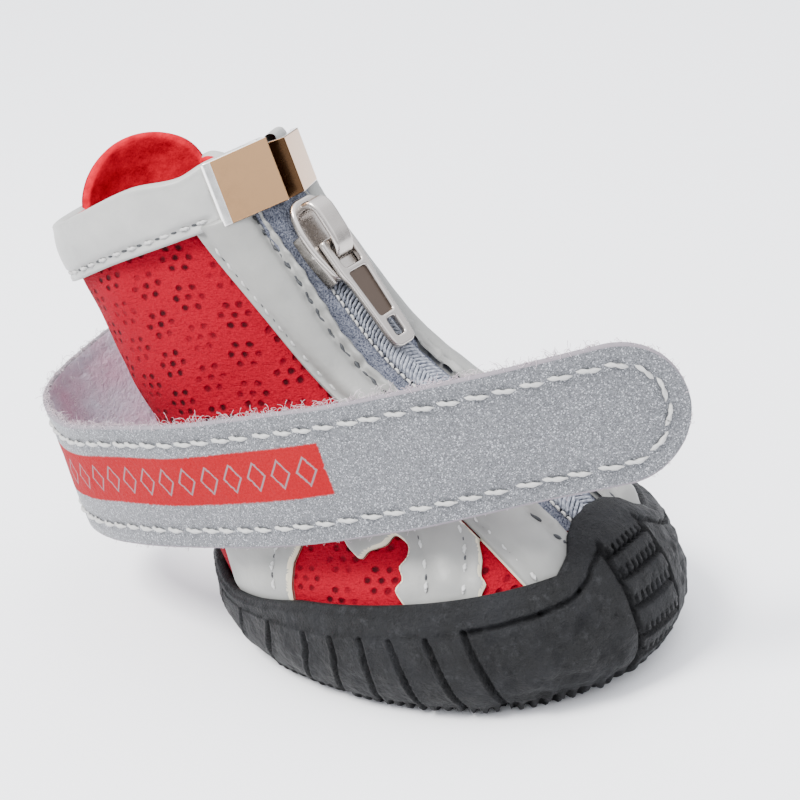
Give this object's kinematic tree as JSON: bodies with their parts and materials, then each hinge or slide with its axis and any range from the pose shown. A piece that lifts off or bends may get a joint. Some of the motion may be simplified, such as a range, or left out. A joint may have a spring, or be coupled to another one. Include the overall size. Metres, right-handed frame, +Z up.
{
  "type": "dog boot",
  "caption": "Dog boot with a cupped rubber sole, red mesh upper, gray overlays, front zip with slider and pull, metal collar clips and a loose round-ended strap.",
  "frame": {"origin": "on the floor, at the standing face in the middle of the tread", "axes": "+X towards the toe, +Y towards the boot's left, +Z up"},
  "size_m": [0.1187, 0.0552, 0.0765],
  "materials": {
    "rubber": "matte moulded rubber",
    "mesh": "red air mesh",
    "leather": "smooth gray synthetic leather",
    "lining": "brushed red lining",
    "clip_metal": "polished",
    "slider_metal": "polished gray metal",
    "tape": "woven tape",
    "coil": "nylon coil",
    "webbing": "reflective gray face, loop pile inside"
  },
  "bodies": {
    "boot": {"outsole": "rubber", "insole": "lining", "upper": "mesh", "collar_band": "leather", "zip_facing_right": "leather", "zip_facing_left": "leather", "side_overlay_right": "leather", "side_overlay_left": "leather", "collar_clip_right": "clip_metal", "collar_clip_left": "clip_metal", "zip_tape": "tape", "zip_teeth": "coil", "zip_slider": "slider_metal", "strap": "webbing"},
    "pull": {"zip_pull": "slider_metal"}
  },
  "joints": [
    {"name": "pull_hinge", "type": "hinge", "parent": "boot", "child": "pull", "pos_m": [-0.01106, 0, 0.06094], "axis": [0, -1, 0], "range_deg": [0, 130]}
  ]
}
